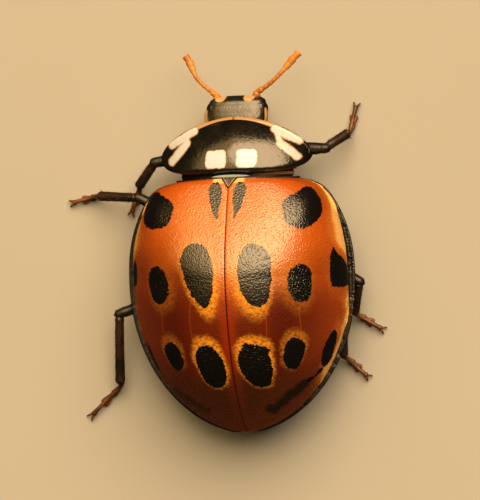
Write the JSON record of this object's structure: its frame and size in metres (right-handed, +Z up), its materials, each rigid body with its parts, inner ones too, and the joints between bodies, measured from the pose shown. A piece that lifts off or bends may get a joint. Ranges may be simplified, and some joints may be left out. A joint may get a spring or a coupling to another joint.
{
  "type": "ladybird",
  "caption": "Standing ladybird beetle, life size: domed orange wing cases with pale-ringed black spots, black and white neck shield, head, feelers and splayed legs.",
  "frame": {"origin": "on the floor, under the middle of the outline of body, legs and feelers", "axes": "+Z up, head towards -Y, the animal's left side towards +X"},
  "size_m": [0.0084, 0.01, 0.004],
  "materials": {
    "elytron": "orange-red chitin, glossy, finely pitted, with black spots ringed in yellow",
    "shield": "glossy black chitin with cream-white marks",
    "cuticle": "satin black chitin",
    "eye": "dark compound eye, fine facets",
    "foot": "rusty brown chitin with pale hairs",
    "feeler": "orange-brown chitin"
  },
  "bodies": {
    "root": {"elytron_left": "elytron", "elytron_right": "elytron", "scutellum": "cuticle", "pronotum": "shield", "prothorax": "cuticle", "thorax": "cuticle", "abdomen": "cuticle", "head": "cuticle", "labrum": "cuticle", "eye_left": "eye", "eye_right": "eye", "palp_left": "feeler", "palp_right": "feeler", "antenna_left": "feeler", "antenna_right": "feeler", "coxa_left_front": "cuticle", "femur_left_front": "cuticle", "tibia_left_front": "cuticle", "tarsus_left_front": "foot", "coxa_left_middle": "cuticle", "femur_left_middle": "cuticle", "tibia_left_middle": "cuticle", "tarsus_left_middle": "foot", "coxa_left_hind": "cuticle", "femur_left_hind": "cuticle", "tibia_left_hind": "cuticle", "tarsus_left_hind": "foot", "coxa_right_front": "cuticle", "femur_right_front": "cuticle", "tibia_right_front": "cuticle", "tarsus_right_front": "foot", "coxa_right_middle": "cuticle", "femur_right_middle": "cuticle", "tibia_right_middle": "cuticle", "tarsus_right_middle": "foot", "coxa_right_hind": "cuticle", "femur_right_hind": "cuticle", "tibia_right_hind": "cuticle", "tarsus_right_hind": "foot"}
  },
  "joints": []
}
